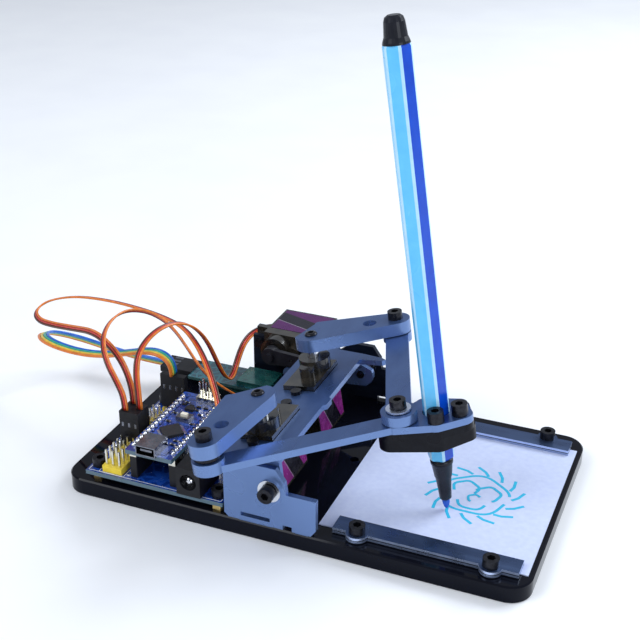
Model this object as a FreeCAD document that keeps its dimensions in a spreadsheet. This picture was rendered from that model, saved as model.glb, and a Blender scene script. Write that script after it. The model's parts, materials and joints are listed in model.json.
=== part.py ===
"""Five-bar SCARA drawing robot on a desk base, in millimetres.

Frame: X along the base (electronics at -X, drawing card at +X), Y away from the front edge, Z up.
The origin is the centre of the base's underside. The tilting carriage and everything on it is drawn
in its own level frame, whose origin is the hinge line, and is then placed at the rest tilt.
"""
import FreeCAD, Part
import math
import os
import re
from FreeCAD import Placement, Rotation, Vector

# ---------------------------------------------------------------- driving dimensions
SIZES = {
    "base_length": 168.5, "base_width": 96.0, "base_thick": 6.0, "base_corner": 8.0,
    "card_length": 71.0, "card_width": 78.0, "card_thick": 0.4, "card_left": 11.5, "card_front": -40.3,
    "clamp_length": 62.7, "clamp_width": 7.2, "clamp_thick": 2.0, "clamp_left": 17.3,
    "clamp_screw_left": 25.8, "clamp_screw_pitch": 45.0, "clamp_screw_reach": 41.0, "clamp_ear": 3.8,
    "screw_head": 2.75, "screw_head_high": 3.0, "screw_shank": 1.45, "screw_bore": 1.5,
    "socket_flat": 1.25, "socket_deep": 1.6,
    "carrier_length": 53.5, "carrier_width": 57.0, "board_thick": 1.6,
    "carrier_left": -74.0, "carrier_front": -48.0, "carrier_bottom": 9.25, "carrier_screw_inset": 3.0,
    "pin_pitch": 2.54, "pin_side": 0.64, "controller_rows": 15.24, "controller_left_row": -55.7,
    "controller_front_pin": -44.4, "controller_length": 43.2, "controller_wide": 18.0,
    "socket_high": 8.5, "header_high": 2.54, "jack_left": -37.5, "jack_wide": 9.0, "jack_deep": 14.0,
    "jack_high": 10.6, "usb_left": -52.1, "usb_wide": 7.6, "usb_long": 8.9, "usb_high": 3.8,
    "signal_left_pin": -66.6, "signal_front_pin": -45.4,
    "plug_long": 14.0, "plug_thick": 2.5, "servo_plug_front": -32.3,
    "radio_left": -73.6, "radio_length": 36.9, "radio_front": 27.0, "radio_width": 15.0,
    "radio_bottom": 9.0, "radio_thick": 1.2,
    "lead_diameter": 2.6, "ribbon_diameter": 4.8,
    "plate_thick": 2.0, "side_plate_outer": 47.6, "pivot_along": -3.0, "pivot_high": 20.5,
    "bearing_outer": 3.5, "bearing_flange": 4.05, "bearing_lip": 0.8, "bearing_seat": 3.55,
    "rest_tilt": 8.6,
    "deck_top": 10.5, "deck_left": -20.5, "deck_right": 3.9, "deck_front": -45.2, "deck_rear": 39.6,
    "ear_along": -30.0, "ear_high": 0.0, "ear_round": 2.3, "ear_front": 35.3,
    "window_length": 23.2, "window_width": 12.6,
    "servo_line": -9.5, "near_shaft": -27.7, "far_shaft": 19.0,
    "case_length": 22.8, "case_width": 12.2, "case_bottom": -19.0, "lid_top": -14.4, "case_top": 1.2,
    "cover_top": 3.7, "flange_length": 32.3, "flange_thick": 2.5, "flange_hole": 13.85,
    "shaft_offset": 5.2, "turret_round": 5.9, "turret_top": 8.0, "small_turret": 2.9,
    "case_wall": 1.0, "spline_round": 2.4, "turret_bore": 2.5, "mount_screw": 1.0, "mount_hole": 1.1,
    "lift_shaft_along": -40.8, "lift_shaft_high": 21.5,
    "horn_low": 10.4, "horn_top": 12.2, "horn_hub": 3.6, "horn_reach": 20.0,
    "arm_length": 32.2, "forearm_length": 63.4, "arm_thick": 4.8, "near_arm_top": 24.9,
    "far_arm_top": 25.3, "arm_hole_reach": 22.3, "arm_hole": 2.6, "arm_end": 5.4,
    "forearm_far_top": 20.1, "forearm_far_thick": 3.4, "forearm_far_half": 4.2, "forearm_far_tip": 6.0,
    "forearm_near_top": 16.35, "forearm_near_thick": 2.45, "forearm_near_half": 4.1, "elbow_boss_top": 18.1,
    "centre_clear": 2.9, "pen_along": 49.0, "pen_across": -16.0, "pen_flats": 7.9, "pen_bore": 4.65,
    "barrel_low": -1.0, "barrel_high": 136.5, "plug_high": 144.7, "plug_round": 3.3,
    "nose_low": -17.0, "nib_low": -20.9, "nib_round": 1.4, "block_low": 6.5, "holder_low": 11.4,
}
NEAR_ARM_ANGLE = -96.8
FAR_ARM_ANGLE = 32.0

doc = FreeCAD.newDocument("DrawingRobot")
sheet = doc.addObject("Spreadsheet::Sheet", "Sizes")
for row, (alias, value) in enumerate(SIZES.items(), 1):
    sheet.set(f"A{row}", alias)
    sheet.set(f"B{row}", str(value))
    sheet.setAlias(f"B{row}", alias)
doc.recompute()

nodes = []


def size(alias):
    """One driving dimension, read back from the sheet."""
    return float(getattr(sheet, alias))


def formula(text):
    """Turn words that are sheet aliases into references to their cells."""
    return re.sub(r"[a-z_]+", lambda word: "Sizes." + word[0] if word[0] in SIZES else word[0], str(text))


def bind(item, **formulas):
    """Bind properties of an object to formulas of sheet cells."""
    for name, text in formulas.items():
        item.setExpression(name.replace("__", "."), formula(text))
    return item


def place(item, x=0, y=0, z=0):
    return bind(item, Placement__Base__x=x, Placement__Base__y=y, Placement__Base__z=z)


def box(name, along, across, high):
    """A block from (start, length) pairs along X, Y and Z."""
    item = doc.addObject("Part::Box", name)
    bind(item, Length=along[1], Width=across[1], Height=high[1])
    return place(item, along[0], across[0], high[0])


TURN = {"z": Rotation(), "x": Rotation(Vector(0, 1, 0), 90), "y": Rotation(Vector(1, 0, 0), -90)}


def rod(name, radius, length, x, y, z, axis="z"):
    """A cylinder that starts at x, y, z and runs along +axis."""
    item = doc.addObject("Part::Cylinder", name)
    item.Placement = Placement(Vector(), TURN[axis])
    bind(item, Radius=radius, Height=length)
    return place(item, x, y, z)


def cone(name, low_radius, high_radius, length, x, y, z):
    item = doc.addObject("Part::Cone", name)
    bind(item, Radius1=low_radius, Radius2=high_radius, Height=length)
    return place(item, x, y, z)


def hexagon(name, flats, length, x, y, z, axis="z"):
    """A six-sided prism, sized across its flats."""
    item = doc.addObject("Part::Prism", name)
    item.Polygon = 6
    item.Placement = Placement(Vector(), TURN[axis])
    bind(item, Circumradius=f"({flats}) / 1.7320508", Height=length)
    return place(item, x, y, z)


def fuse(name, *items):
    item = doc.addObject("Part::MultiFuse", name)
    item.Shapes = list(items)
    return item


def cut(name, body, *tools):
    """The body less every tool."""
    item = doc.addObject("Part::Cut", name)
    item.Base = body
    item.Tool = tools[0] if len(tools) == 1 else fuse(name + "_tools", *tools)
    return item


def group(name, *items):
    """Separate solids that share one node."""
    item = doc.addObject("Part::Compound", name)
    item.Links = list(items)
    return item


def node(label, item, tilted=False):
    """Name a finished sub-part; parts of the carriage are placed on the hinge at the rest tilt."""
    item.Label = label
    if tilted:
        item.Placement = Placement(Vector(), Rotation(Vector(0, 1, 0), 1))
        bind(item, Placement__Rotation__Angle="-rest_tilt * 1 deg")
        place(item, "pivot_along", 0, "pivot_high")
    nodes.append(item)
    return item


# ---------------------------------------------------------------- outlines for plates
def hull(circles):
    """Edges round a counter-clockwise ring of (x, y, radius) circles: tangent lines and arcs."""
    lines = []
    for first, second in zip(circles, circles[1:] + circles[:1]):
        dx, dy = second[0] - first[0], second[1] - first[1]
        turn = math.atan2(dy, dx) + math.asin((second[2] - first[2]) / math.hypot(dx, dy))
        out = Vector(math.sin(turn), -math.cos(turn), 0)
        lines.append((Vector(first[0], first[1], 0) + out * first[2],
                      Vector(second[0], second[1], 0) + out * second[2], out))
    edges = []
    for before, after, circle in zip(lines[-1:] + lines[:-1], lines, circles):
        centre = Vector(circle[0], circle[1], 0)
        if (after[0] - before[1]).Length > 0.01:
            swing = math.atan2(before[2].cross(after[2]).z, before[2].dot(after[2])) % (2 * math.pi)
            middle = Rotation(Vector(0, 0, 1), math.degrees(swing / 2)).multVec(before[2])
            edges.append(Part.Arc(before[1], centre + middle * circle[2], after[0]))
        edges.append(Part.LineSegment(after[0], after[1]))
    return edges


def polygon(points):
    corners = [Vector(x, y, 0) for x, y in points]
    return [Part.LineSegment(a, b) for a, b in zip(corners, corners[1:] + corners[:1])]


def plate(name, plane, edges, start, thick, away=False):
    """A padded sketch: plane XY pads up from start; plane XZ pads towards -Y (or +Y when away)."""
    body = doc.addObject("PartDesign::Body", name)
    origin = [f for f in body.Origin.OriginFeatures if f.Role == plane + "_Plane"][0]
    sketch = body.newObject("Sketcher::SketchObject", name + "_outline")
    sketch.AttachmentSupport = (origin, [""])
    sketch.MapMode = "FlatFace"
    sketch.addGeometry(edges, False)
    bind(sketch, AttachmentOffset__Base__z=start)
    pad = body.newObject("PartDesign::Pad", name + "_pad")
    pad.Profile = sketch
    pad.Reversed = away
    bind(pad, Length=thick)
    return body


def cap_screw(name, x, y, seat, depth, axis="z", down=True):
    """A socket cap screw: head on its seat, shank running the other way, hexagon socket in the head."""
    sign = 1 if down else -1
    ahead = {"z": (0, 0, 1), "y": (0, 1, 0)}[axis]
    spot = [x, y, seat] if axis == "z" else [x, seat, y]

    def along(distance):
        return [f"{s} + ({sign * a}) * ({distance})" for s, a in zip(spot, ahead)]
    if down:
        head = rod(name + "_head", "screw_head", "screw_head_high", *along(0), axis=axis)
        shank = rod(name + "_shank", "screw_shank", depth, *along(f"-({depth})"), axis=axis)
        socket = hexagon(name + "_socket", "socket_flat * 2", "socket_deep + 1",
                         *along("screw_head_high - socket_deep"), axis=axis)
    else:
        head = rod(name + "_head", "screw_head", "screw_head_high", *along("screw_head_high"), axis=axis)
        shank = rod(name + "_shank", "screw_shank", depth, *along(0), axis=axis)
        socket = hexagon(name + "_socket", "socket_flat * 2", "socket_deep + 1",
                         *along("screw_head_high + 1"), axis=axis)
    return cut(name, fuse(name + "_blank", head, shank), socket)


# ---------------------------------------------------------------- base, card and clamps
CLAMP_SCREWS = ["clamp_screw_left", "clamp_screw_left + clamp_screw_pitch"]
CARD_MIDDLE = "card_front + card_width / 2"
CLAMP_SIDES = {"front": -1, "rear": 1}
CARRIER_SCREWS = [("carrier_left + carrier_screw_inset", "carrier_front + 5"),
                  ("carrier_left + carrier_length - carrier_screw_inset", "carrier_front + 4"),
                  ("carrier_left + carrier_screw_inset", "carrier_front + carrier_width - 4"),
                  ("carrier_left + carrier_length - carrier_screw_inset",
                   "carrier_front + carrier_width - 4")]
TABS = [(-14.4, 12.1), (6.0, 4.6)]
CARRIER_TOP = "carrier_bottom + board_thick"
CLAMP_TOP = "base_thick + card_thick + clamp_thick"


def make_base():
    block = box("base_block", ("-base_length / 2", "base_length"), ("-base_width / 2", "base_width"),
                (0, "base_thick"))
    doc.recompute()
    rounded = doc.addObject("Part::Fillet", "base_rounded")
    rounded.Base = block
    upright = [i for i, edge in enumerate(block.Shape.Edges, 1) if abs(edge.tangentAt(0).z) > 0.9]
    rounded.Edges = [(i, size("base_corner"), size("base_corner")) for i in upright]
    doc.recompute()
    soft = doc.addObject("Part::Chamfer", "base_softened")
    soft.Base = rounded
    rims = [i for i, edge in enumerate(rounded.Shape.Edges, 1)
            if min(v.Z for v in edge.Vertexes) > size("base_thick") - 0.01]
    soft.Edges = [(i, 0.5, 0.5) for i in rims]
    tools = []
    for side, sign in CLAMP_SIDES.items():
        for i, x in enumerate(CLAMP_SCREWS):
            tools.append(rod(f"clamp_hole_{side}_{i}", "screw_bore", 7, x,
                             f"{CARD_MIDDLE} + {sign} * clamp_screw_reach", -0.5))
    for i, (x, y) in enumerate(CARRIER_SCREWS):
        tools.append(rod(f"carrier_hole_{i}", "screw_bore", 7, x, y, -0.5))
    for side, sign in CLAMP_SIDES.items():
        middle = f"{sign} * (side_plate_outer - plate_thick / 2)"
        for i, (start, length) in enumerate(TABS):
            tools.append(box(f"tab_slot_{side}_{i}", (start - 0.1, length + 0.2),
                             (f"{middle} - plate_thick / 2 - 0.1", "plate_thick + 0.2"), (1.4, 6)))
    for i, (x, y) in enumerate([(8.4, 1.5), (8.4, 24.0)]):
        tools.append(rod(f"spare_hole_{i}", 1.6, 7, x, y, -0.5))
    node("base_plate", cut("base_plate_cut", soft, *tools))


def make_card_and_clamps():
    node("drawing_card", box("card", ("card_left", "card_length"), ("card_front", "card_width"),
                             ("base_thick", "card_thick")))
    screws = []
    for side, sign in CLAMP_SIDES.items():
        middle = f"{CARD_MIDDLE} + {sign} * (clamp_screw_reach - 2.9)"
        bar = box(f"bar_{side}", ("clamp_left", "clamp_length"),
                  (f"{middle} - clamp_width / 2", "clamp_width"),
                  ("base_thick + card_thick", "clamp_thick"))
        line = f"{CARD_MIDDLE} + {sign} * clamp_screw_reach"
        ears = [rod(f"ear_{side}_{i}", "clamp_ear", "clamp_thick", x, line, "base_thick + card_thick")
                for i, x in enumerate(CLAMP_SCREWS)]
        holes = [rod(f"ear_hole_{side}_{i}", "screw_bore", 8, x, line, "base_thick - 2")
                 for i, x in enumerate(CLAMP_SCREWS)]
        node(f"clamp_bar_{side}", cut(f"clamp_{side}", fuse(f"bar_and_ears_{side}", bar, *ears), *holes))
        for i, x in enumerate(CLAMP_SCREWS):
            screws.append(cap_screw(f"clamp_screw_{side}_{i}", x, line, CLAMP_TOP, 7))
    node("clamp_screws", group("clamp_screw_group", *screws))


# ---------------------------------------------------------------- electronics
SOCKET_TOP = f"{CARRIER_TOP} + socket_high"
CONTROLLER_BOTTOM = f"{SOCKET_TOP} + header_high"
CONTROLLER_TOP = f"{CONTROLLER_BOTTOM} + board_thick"
ROW_PINS = 15
ROW_LONG = f"{ROW_PINS} * pin_pitch"
ROWS = ["controller_left_row", "controller_left_row + controller_rows"]
SIGNAL_ROWS = 14
YELLOW_ROWS = 4


def make_carrier():
    board = box("carrier_blank", ("carrier_left", "carrier_length"), ("carrier_front", "carrier_width"),
                ("carrier_bottom", "board_thick"))
    holes = [rod(f"board_hole_{i}", "screw_bore", 4, x, y, 8) for i, (x, y) in enumerate(CARRIER_SCREWS)]
    node("carrier_board", cut("carrier_cut", board, *holes))
    posts, screws = [], []
    for i, (x, y) in enumerate(CARRIER_SCREWS):
        post = hexagon(f"post_{i}", 5.0, "carrier_bottom - base_thick", x, y, "base_thick")
        posts.append(cut(f"post_bored_{i}", post, rod(f"post_bore_{i}", "screw_bore", 6, x, y, 5)))
        screws.append(cap_screw(f"carrier_screw_{i}", x, y, CARRIER_TOP, 9))
    node("carrier_standoffs", group("post_group", *posts))
    node("carrier_screws", group("carrier_screw_group", *screws))
    shell = box("jack_block", ("jack_left", "jack_wide"), ("carrier_front - 0.6", "jack_deep"),
                (CARRIER_TOP, "jack_high"))
    mouth = rod("jack_mouth", 3.1, 9, "jack_left + jack_wide / 2", "carrier_front - 1",
                f"{CARRIER_TOP} + 5.4", "y")
    pin = rod("jack_pin", 1.0, 8, "jack_left + jack_wide / 2", "carrier_front", f"{CARRIER_TOP} + 5.4", "y")
    node("dc_jack", fuse("jack", cut("jack_hollow", shell, mouth), pin))


def make_headers():
    strips = [box(f"socket_{i}", (f"{x} - header_high / 2", "header_high"),
                  ("controller_front_pin - header_high / 2", ROW_LONG), (CARRIER_TOP, "socket_high"))
              for i, x in enumerate(ROWS)]
    node("controller_sockets", group("socket_group", *strips))
    left = "signal_left_pin - pin_pitch / 2"
    front = "signal_front_pin - pin_pitch / 2"
    yellow = box("signal_yellow", (left, "3 * pin_pitch"), (front, f"{YELLOW_ROWS} * pin_pitch"),
                 (CARRIER_TOP, "header_high"))
    black = box("signal_black", (left, "3 * pin_pitch"), (f"{front} + {YELLOW_ROWS} * pin_pitch",
                f"{SIGNAL_ROWS - YELLOW_ROWS} * pin_pitch"), (CARRIER_TOP, "header_high"))
    serial = box("serial_header", (left, "4 * pin_pitch"), (f"{front} + 16.8 * pin_pitch", "plug_thick"),
                 (CARRIER_TOP, "header_high"))
    node("signal_headers", group("signal_group", yellow, black, serial))
    pins = []
    plugged = range(5, 8)
    for j in range(SIGNAL_ROWS):
        high = 0.9 if j in plugged else 6.0
        for i in range(3):
            pins.append(box(f"pin_{i}_{j}", (f"signal_left_pin + {i} * pin_pitch - pin_side / 2", "pin_side"),
                            (f"signal_front_pin + {j} * pin_pitch - pin_side / 2", "pin_side"),
                            (f"{CARRIER_TOP} + header_high", high)))
    node("header_pins", group("pin_group", *pins))


def make_controller():
    middle = "controller_left_row + controller_rows / 2"
    front = f"controller_front_pin + {ROW_PINS - 1} * pin_pitch / 2 - controller_length / 2"
    board = box("controller_blank", (f"{middle} - controller_wide / 2", "controller_wide"),
                (front, "controller_length"), (CONTROLLER_BOTTOM, "board_thick"))
    holes = [box(f"row_slot_{i}", (f"{x} - pin_side / 2", "pin_side"),
                 ("controller_front_pin - pin_side / 2", f"{ROW_PINS - 1} * pin_pitch + pin_side"),
                 (f"{CONTROLLER_BOTTOM} - 1", 5)) for i, x in enumerate(ROWS)]
    node("controller_board", cut("controller_cut", board, *holes))
    chip = box("processor", (-3.5, 7), (-3.5, 7), (0, 1.0))
    chip.Placement = Placement(Vector(), Rotation(Vector(0, 0, 1), 45))
    place(chip, 0, "-3.5 * 1.41421", 0)
    chip_spot = doc.addObject("Part::Compound", "processor_spot")
    chip_spot.Links = [chip]
    place(chip_spot, -47.6, -32.3, CONTROLLER_TOP)
    crystal = box("crystal", (-50.4, 3.2), (-17.6, 2.5), (CONTROLLER_TOP, 1.1))
    lamps = [box(f"lamp_{i}", (-53.2 + 2.9 * i, 1.6), (-14.2, 0.8), (CONTROLLER_TOP, 0.6)) for i in range(4)]
    node("controller_chips", group("chip_group", chip_spot, crystal, *lamps))
    shell = box("usb_shell", ("usb_left", "usb_wide"), (f"{front} - 1.3", "usb_long"),
                (CONTROLLER_TOP, "usb_high"))
    hollow = box("usb_hollow", ("usb_left + 0.4", "usb_wide - 0.8"), (f"{front} - 2", 7.5),
                 (f"{CONTROLLER_TOP} + 0.4", "usb_high - 0.8"))
    tongue = box("usb_tongue", ("usb_left + 1.6", "usb_wide - 3.2"), (f"{front} - 0.6", 7),
                 (f"{CONTROLLER_TOP} + 1.5", 0.8))
    node("usb_socket", fuse("usb", cut("usb_open", shell, hollow), tongue))
    strips = [box(f"strip_{i}", (f"{x} - header_high / 2", "header_high"),
                  ("controller_front_pin - header_high / 2", ROW_LONG), (SOCKET_TOP, "header_high"))
              for i, x in enumerate(ROWS)]
    pins = [box(f"row_pins_{i}_{j}", (f"{x} - pin_side / 2 + 0.02", "pin_side - 0.04"),
                (f"controller_front_pin + {j} * pin_pitch - pin_side / 2 + 0.02", "pin_side - 0.04"),
                (CONTROLLER_BOTTOM, "board_thick + 1.4"))
            for i, x in enumerate(ROWS) for j in range(ROW_PINS)]
    base = box("program_base", (-49.2, "3 * pin_pitch"), (-10.9, "2 * pin_pitch"),
               (CONTROLLER_TOP, "header_high"))
    tall = [box(f"program_pin_{i}_{j}", (f"-49.2 + ({i} + 0.5) * pin_pitch - pin_side / 2", "pin_side"),
                (f"-10.9 + ({j} + 0.5) * pin_pitch - pin_side / 2", "pin_side"),
                (f"{CONTROLLER_TOP} + header_high", 6)) for i in range(3) for j in range(2)]
    node("controller_pins", group("controller_pin_group", *strips, *pins, base, *tall))
    body = box("reset_block", (-50.0, 5.2), (-25.0, 3.8), (CONTROLLER_TOP, 1.8))
    well = box("reset_well", (-48.9, 3.0), (-24.2, 2.2), (f"{CONTROLLER_TOP} + 0.6", 3))
    node("reset_switch", cut("reset_body", body, well))
    node("reset_button", box("button", (-48.6, 2.4), (-23.9, 1.6), (f"{CONTROLLER_TOP} + 1.0", 1.7)))


PLUG_BOTTOM = f"{CARRIER_TOP} + header_high + 0.9"


def make_plugs():
    plugs = [box(f"servo_plug_{i}", ("signal_left_pin - pin_pitch / 2", "3 * pin_pitch"),
                 (f"servo_plug_front - plug_thick / 2 + {i} * pin_pitch", "plug_thick"),
                 (PLUG_BOTTOM, "plug_long")) for i in range(3)]
    node("servo_plugs", group("servo_plug_group", *plugs))
    upright = box("ribbon_plug_upright", ("signal_left_pin - pin_pitch / 2", "4 * pin_pitch"),
                  ("signal_front_pin + 16.3 * pin_pitch", "plug_thick"), (PLUG_BOTTOM, "plug_long"))
    lying = box("ribbon_plug_lying", ("radio_left - plug_long", "plug_long"),
                ("radio_front + radio_width / 2 - 2 * pin_pitch", "4 * pin_pitch"),
                ("radio_bottom - 0.7", "plug_thick"))
    node("ribbon_plugs", group("ribbon_plug_group", upright, lying))


def make_radio():
    node("radio_board", box("radio_blank", ("radio_left", "radio_length"), ("radio_front", "radio_width"),
                            ("radio_bottom", "radio_thick")))
    chip = box("radio_chip", ("radio_left + radio_length - 15.5", 14.5), ("radio_front + 1.2", 12.6),
               ("radio_bottom + radio_thick", 1.9))
    pad = box("radio_pad", ("radio_left + 8", 26), ("radio_front + 2", "radio_width - 4"),
              ("base_thick", "radio_bottom - base_thick"))
    node("radio_parts", group("radio_group", chip, pad))


# ---------------------------------------------------------------- cords
def tube(label, points, diameter):
    """A round tube along straight runs joined by arcs of 0.45 of the shorter run."""
    spots = [Vector(*p) for p in points]
    edges, last, radii = [], spots[0], []
    for before, corner, after in zip(spots, spots[1:], spots[2:]):
        run_in, run_out = corner - before, after - corner
        turn = run_in.getAngle(run_out)
        reach = 0.45 * min(run_in.Length, run_out.Length)
        radii.append(reach / math.tan(turn / 2))
        start = corner - run_in.normalize() * reach
        end = corner + run_out.normalize() * reach
        middle_way = (run_out - run_in).normalize()
        bulge = radii[-1] / math.cos(turn / 2) - radii[-1]
        edges += [Part.LineSegment(last, start).toShape(),
                  Part.Arc(start, corner + middle_way * bulge, end).toShape()]
        last = end
    edges.append(Part.LineSegment(last, spots[-1]).toShape())
    path = Part.Wire(edges)
    ring = Part.Wire(Part.Circle(spots[0], spots[1] - spots[0], diameter / 2).toShape())
    solid = path.makePipeShell([ring], True, False)
    full = math.pi * diameter ** 2 / 4 * path.Length
    print(f"{label}: length {path.Length:.1f}, volume ratio {solid.Volume / full:.3f}, "
          f"smallest radius {min(radii):.1f}")
    item = doc.addObject("Part::Feature", label + "_tube")
    item.Shape = solid
    node(label, item)


NEAR_LEAD = [(-65.6, -27.2, 28.4), (-65.6, -27.2, 33.0), (-68.2, -25.2, 38.2),
             (-73.4, -21.4, 42.0), (-81.4, -16.0, 43.8), (-93.0, -8.2, 43.0), (-108.0, -0.2, 37.8),
             (-121.0, 5.4, 34.2), (-130.2, 9.4, 32.4), (-135.8, 14.4, 32.8), (-135.0, 20.0, 34.8),
             (-128.6, 22.8, 37.0), (-118.4, 23.2, 39.2), (-104.0, 21.8, 40.6), (-88.6, 18.8, 41.4),
             (-75.4, 14.6, 42.0), (-64.6, 10.0, 41.8), (-55.6, 3.4, 39.6), (-47.0, -5.4, 37.0),
             (-39.2, -14.0, 31.9), (-33.6, -21.6, 26.4), (-29.6, -28.6, 22.0),
             (-26.6, -35.0, 18.8), (-21.8, -39.6, 15.8), (-15.6, -40.4, 13.6),
             (-11.4, -38.2, 12.7), (-10.8, -34.4, 12.6)]
FAR_LEAD = [(-66.0, -32.3, 28.4), (-66.0, -32.3, 33.4), (-69.4, -31.2, 38.8), (-74.6, -28.4, 43.6),
            (-79.6, -22.8, 47.6), (-82.4, -15.6, 50.0), (-83.2, -7.6, 51.0), (-81.6, -0.4, 50.6),
            (-76.4, 4.4, 48.8), (-69.4, 4.4, 46.4), (-62.6, 0.8, 44.4), (-56.0, -3.2, 41.0),
            (-50.8, -4.8, 35.6), (-46.6, -3.0, 29.6), (-42.6, 1.6, 23.6), (-39.0, 7.6, 17.6),
            (-35.0, 13.6, 12.6), (-30.6, 19.4, 9.6), (-26.0, 25.0, 8.8), (-21.6, 30.2, 9.6),
            (-16.6, 32.8, 11.0), (-12.2, 30.6, 12.2), (-11.4, 25.8, 12.6)]
LIFT_LEAD = [(-61.6, -29.8, 28.4), (-61.6, -29.8, 34.0), (-63.2, -28.0, 40.4),
             (-65.0, -23.4, 46.0), (-64.4, -17.0, 49.8), (-62.4, -10.4, 51.6), (-60.4, -4.0, 51.0),
             (-58.2, 2.2, 48.0), (-56.4, 7.6, 42.6), (-55.0, 11.8, 35.4), (-54.0, 15.0, 27.6),
             (-53.2, 18.2, 20.6), (-53.2, 22.6, 15.4), (-54.2, 28.2, 13.4), (-55.6, 34.4, 14.4),
             (-57.0, 41.0, 16.8), (-57.8, 47.8, 19.2), (-56.8, 54.4, 20.8), (-53.0, 60.0, 21.5),
             (-47.6, 61.9, 21.5)]
RIBBON = [(-62.8, -2.8, 28.4), (-62.8, -2.8, 32.8), (-66.6, -3.1, 36.4), (-72.8, -3.0, 36.6),
          (-82.0, -2.2, 33.4), (-93.6, -1.0, 29.4), (-106.4, 0.6, 27.2), (-119.4, 3.6, 26.4),
          (-129.4, 9.4, 25.0), (-134.4, 17.4, 22.6), (-133.0, 25.8, 18.6), (-126.2, 31.8, 14.4),
          (-116.4, 34.2, 11.4), (-105.4, 34.5, 10.0), (-96.4, 34.5, 9.55), (-87.7, 34.5, 9.55)]


# ---------------------------------------------------------------- servos
def servo_case(name):
    body = box(name + "_body", ("shaft_offset - case_length / 2", "case_length"),
               ("-case_width / 2", "case_width"), ("lid_top", "case_top - lid_top"))
    wings = box(name + "_wings", ("shaft_offset - flange_length / 2", "flange_length"),
                ("-case_width / 2", "case_width"), ("-flange_thick", "flange_thick"))
    hollow = box(name + "_hollow",
                 ("shaft_offset - case_length / 2 + case_wall", "case_length - 2 * case_wall"),
                 ("-case_width / 2 + case_wall", "case_width - 2 * case_wall"),
                 ("lid_top - 1", "case_top - lid_top + 1 - case_wall"))
    bore = rod(name + "_bore", "turret_bore + 0.5", 4, 0, 0, -2)
    holes = [rod(f"{name}_wing_hole_{i}", "mount_hole", 6, f"shaft_offset + {sign} * flange_hole", 0, -4)
             for i, sign in enumerate((-1, 1))]
    return cut(name, fuse(name + "_blank", body, wings), hollow, bore, *holes)


def servo_lid(name):
    shell = box(name + "_shell", ("shaft_offset - case_length / 2", "case_length"),
                ("-case_width / 2", "case_width"), ("case_bottom", "lid_top - case_bottom"))
    hollow = box(name + "_hollow",
                 ("shaft_offset - case_length / 2 + case_wall", "case_length - 2 * case_wall"),
                 ("-case_width / 2 + case_wall", "case_width - 2 * case_wall"),
                 ("case_bottom + case_wall", "lid_top - case_bottom"))
    return cut(name, shell, hollow)


def servo_cover(name):
    """The gearbox cover with its shaft turret and the smaller turret beside it."""
    top = box(name + "_top", ("shaft_offset - case_length / 2", "case_length"),
              ("-case_width / 2", "case_width"), ("case_top", "cover_top - case_top"))
    turret = rod(name + "_turret", "turret_round", "turret_top - case_top", 0, 0, "case_top")
    small = rod(name + "_small", "small_turret", "turret_top - 0.8 - case_top", 7.4, 0, "case_top")
    hollow = box(name + "_hollow",
                 ("shaft_offset - case_length / 2 + case_wall", "case_length - 2 * case_wall"),
                 ("-case_width / 2 + case_wall", "case_width - 2 * case_wall"),
                 ("case_top - 1", "cover_top - case_top + 0.2"))
    bore = rod(name + "_bore", "turret_bore", 12, 0, 0, 0)
    return cut(name, fuse(name + "_blank", top, turret, small), hollow, bore)


def servo_motor(name):
    """Motor, potentiometer and control board inside the case."""
    return group(name, rod(name + "_can", 4.0, 12, 11.0, 0, -12.6), rod(name + "_pot", 3.4, 5, 0, 0, -13.2),
                 box(name + "_board", (-4.6, 19.6), (-4.8, 9.6), (-17.0, 1.0)))


def servo_shaft(name, top):
    """Output gear and splined shaft; the shaft runs up to the arm it drives."""
    return fuse(name, rod(name + "_gear", 4.4, 1.0, 0, 0, "case_top + 0.2"),
                rod(name + "_spline", "spline_round", f"({top}) - case_top - 0.2", 0, 0, "case_top + 0.2"))


def on_carriage(item, which):
    """Stand a servo piece under the carriage deck, its shaft at the outer end."""
    turn, along = {"near": (90, "near_shaft"), "far": (-90, "far_shaft")}[which]
    item.Placement = Placement(Vector(), Rotation(Vector(0, 0, 1), turn))
    return place(item, "servo_line", along, "deck_top - plate_thick")


def on_rear_plate(item):
    """Lay the lift servo on its side, its shaft pointing to the front."""
    item.Placement = Placement(Vector(), Rotation(Vector(1, 0, 0), 90))
    return place(item, "lift_shaft_along", "side_plate_outer", "lift_shaft_high")


def make_lift_servo():
    node("lift_servo_case", on_rear_plate(servo_case("lift_case")))
    node("lift_servo_cover", on_rear_plate(servo_cover("lift_cover")))
    node("lift_servo_lid", on_rear_plate(servo_lid("lift_lid")))
    node("lift_servo_motor", on_rear_plate(servo_motor("lift_motor")))
    node("lift_servo_shaft", on_rear_plate(servo_shaft("lift_shaft", "horn_low - 1.8")))
    screws = []
    for i, sign in enumerate((-1, 1)):
        x = f"shaft_offset + {sign} * flange_hole"
        head = rod(f"lift_head_{i}", 2.0, 1.4, x, 0, "plate_thick")
        shank = rod(f"lift_shank_{i}", "mount_screw", "plate_thick + flange_thick + 2.4", x, 0,
                    "-flange_thick - 2.4")
        nut = hexagon(f"lift_nut_{i}", 4.0, 1.5, x, 0, "-flange_thick - 1.5")
        screws.append(fuse(f"lift_screw_{i}", head, shank, nut))
    node("lift_servo_screws", on_rear_plate(group("lift_screw_group", *screws)))
    hub = rod("horn_hub_rod", "horn_hub", "horn_top - horn_low + 1.7", 0, 0, "horn_low - 1.7")
    blade = plate("horn_blade", "XY", hull([(0, 0, 3.3), (size("horn_reach"), 0, 2.0)]), "horn_low",
                  "horn_top - horn_low")
    screw = rod("horn_screw", 1.7, 1.2, 0, 0, "horn_top")
    holes = [rod(f"horn_hole_{i}", 0.5, 4, 9.0 + 3.2 * i, 0, "horn_low - 1") for i in range(3)]
    node("lift_horn", on_rear_plate(cut("horn", fuse("horn_blank", hub, blade, screw), *holes)))


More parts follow.
